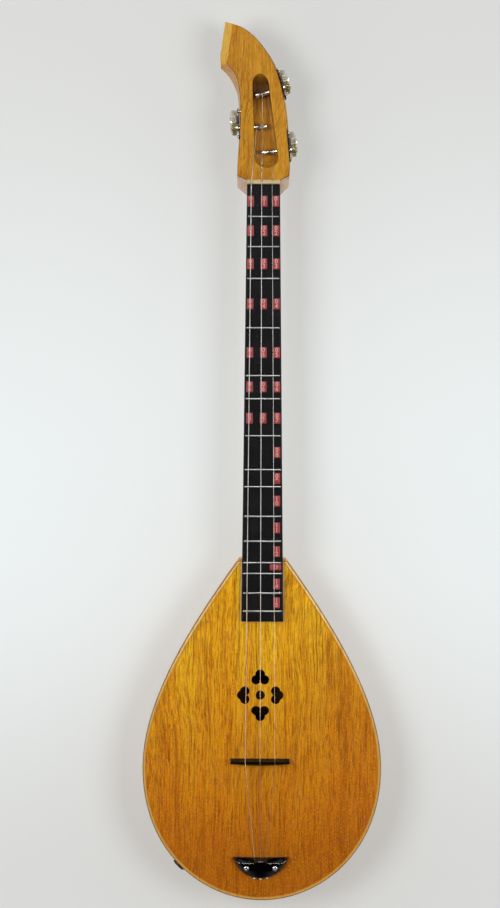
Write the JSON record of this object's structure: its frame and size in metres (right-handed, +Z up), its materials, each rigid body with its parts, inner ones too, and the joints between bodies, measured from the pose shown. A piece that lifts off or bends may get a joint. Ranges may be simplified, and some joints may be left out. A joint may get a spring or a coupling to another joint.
{
  "type": "phin lute",
  "caption": "Long-necked plucked lute with a carved drop-shaped body, fretted neck, hooked slotted head, geared tuners and a floating bridge; plays a melody over drones.",
  "frame": {"origin": "centre of the overall box in X and Y, at the flat back that the instrument lies on", "axes": "+Z up through the soundboard, +Y from the tail to the head, +X to the treble side"},
  "size_m": [0.2388, 0.8828, 0.0714],
  "materials": {
    "board_black": "black stained fretboard wood, glossy",
    "body_wood": "carved body wood, golden brown, satin lacquer",
    "bone": "cream bone substitute, satin",
    "brace_wood": "bare pale brace wood",
    "brass": "bare brass",
    "bridge_wood": "dark brown hardwood, satin",
    "fret_metal": "pale fret wire",
    "jack_black": "black moulded plastic",
    "lead_jacket": "black cable jacket",
    "neck_wood": "golden brown neck wood, satin lacquer",
    "nickel": "nickel-plated tuner metal",
    "pearl": "pearly grey-green plastic",
    "screw_steel": "plated cross-head screw",
    "string_steel": "wound and plain steel string",
    "tail_black": "glossy black lacquered horn substitute",
    "top_wood": "golden soundboard wood, glossy lacquer"
  },
  "bodies": {
    "instrument": {"body_bowl": "body_wood", "soundboard": "top_wood", "upper_brace": "brace_wood", "lower_brace": "brace_wood", "neck": "neck_wood", "headstock": "neck_wood", "fretboard": "board_black", "nut": "bone", "fret_01": "fret_metal", "fret_02": "fret_metal", "fret_03": "fret_metal", "fret_04": "fret_metal", "fret_05": "fret_metal", "fret_06": "fret_metal", "fret_07": "fret_metal", "fret_08": "fret_metal", "fret_09": "fret_metal", "fret_10": "fret_metal", "fret_11": "fret_metal", "fret_12": "fret_metal", "fret_13": "fret_metal", "fret_14": "fret_metal", "fret_15": "fret_metal", "tailpiece": "tail_black", "tailpiece_screw_bass": "screw_steel", "tailpiece_screw_treble": "screw_steel", "string_1": "string_steel", "string_2": "string_steel", "string_3": "string_steel", "upper_tuner_plate": "nickel", "upper_tuner_screw_tip": "nickel", "upper_tuner_screw_nut": "nickel", "left_tuner_plate": "nickel", "left_tuner_screw_tip": "nickel", "left_tuner_screw_nut": "nickel", "lower_tuner_plate": "nickel", "lower_tuner_screw_tip": "nickel", "lower_tuner_screw_nut": "nickel", "jack_socket": "jack_black", "jack_nut": "jack_black", "jack_washer": "jack_black", "piezo_disc": "brass", "pickup_lead": "lead_jacket"},
    "bridge": {"bridge": "bridge_wood"},
    "upper_key": {"upper_worm_shaft": "nickel", "upper_button": "pearl"},
    "upper_post": {"upper_gear": "brass", "upper_gear_screw": "nickel", "upper_string_post": "nickel"},
    "left_key": {"left_worm_shaft": "nickel", "left_button": "pearl"},
    "left_post": {"left_gear": "brass", "left_gear_screw": "nickel", "left_string_post": "nickel"},
    "lower_key": {"lower_worm_shaft": "nickel", "lower_button": "pearl"},
    "lower_post": {"lower_gear": "brass", "lower_gear_screw": "nickel", "lower_string_post": "nickel"}
  },
  "joints": [
    {"name": "bridge_slide", "type": "slide", "parent": "instrument", "child": "bridge", "axis": [0, 1, 0], "range_m": [-0.002, 0.002]},
    {"name": "upper_key_turn", "type": "hinge", "parent": "instrument", "child": "upper_key", "pos_m": [0.02107, 0.38164, 0.05], "axis": [0, 0, 1], "continuous": true},
    {"name": "upper_post_turn", "type": "hinge", "parent": "instrument", "child": "upper_post", "pos_m": [0.02345, 0.37314, 0.05], "axis": [0.9632, 0.2689, 0], "continuous": true},
    {"name": "left_key_turn", "type": "hinge", "parent": "instrument", "child": "left_key", "pos_m": [-0.02996, 0.34023, 0.05], "axis": [0, 0, 1], "continuous": true},
    {"name": "left_post_turn", "type": "hinge", "parent": "instrument", "child": "left_post", "pos_m": [-0.02944, 0.33142, 0.05], "axis": [-0.9982, -0.0593, 0], "continuous": true},
    {"name": "lower_key_turn", "type": "hinge", "parent": "instrument", "child": "lower_key", "pos_m": [0.02961, 0.31885, 0.05], "axis": [0, 0, 1], "continuous": true},
    {"name": "lower_post_turn", "type": "hinge", "parent": "instrument", "child": "lower_post", "pos_m": [0.03043, 0.31006, 0.05], "axis": [0.9957, 0.0924, 0], "continuous": true}
  ],
  "couplings": [
    {"joint": "upper_post_turn", "follows": "upper_key_turn", "ratio": -0.066667},
    {"joint": "left_post_turn", "follows": "left_key_turn", "ratio": 0.066667},
    {"joint": "lower_post_turn", "follows": "lower_key_turn", "ratio": -0.066667}
  ]
}
